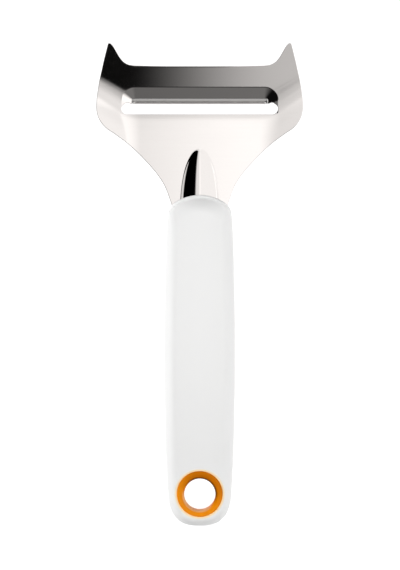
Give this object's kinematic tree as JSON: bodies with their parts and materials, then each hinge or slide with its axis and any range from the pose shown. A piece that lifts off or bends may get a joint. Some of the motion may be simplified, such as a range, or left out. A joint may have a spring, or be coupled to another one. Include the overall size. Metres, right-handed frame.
{
  "type": "cheese slicer",
  "caption": "Hand cheese slicer: horned stainless blade with a wide cutting slot and ribbed neck, long rounded white grip with a coloured ring round its hanging hole.",
  "frame": {"origin": "middle of the bounding box in plan, at the underside of the grip", "axes": "+Y from the hanging ring towards the blade's horns, +X across the head, +Z out of the front face"},
  "size_m": [0.0942, 0.22, 0.018],
  "materials": {
    "blade_steel": "polished stainless",
    "core_plastic": "satin white, rigid",
    "sleeve_soft": "soft-touch white",
    "ring_plastic": "satin orange"
  },
  "bodies": {
    "root": {"slicer_blade": "blade_steel", "handle_core": "core_plastic", "grip_sleeve": "sleeve_soft", "hanging_ring": "ring_plastic"}
  },
  "joints": []
}
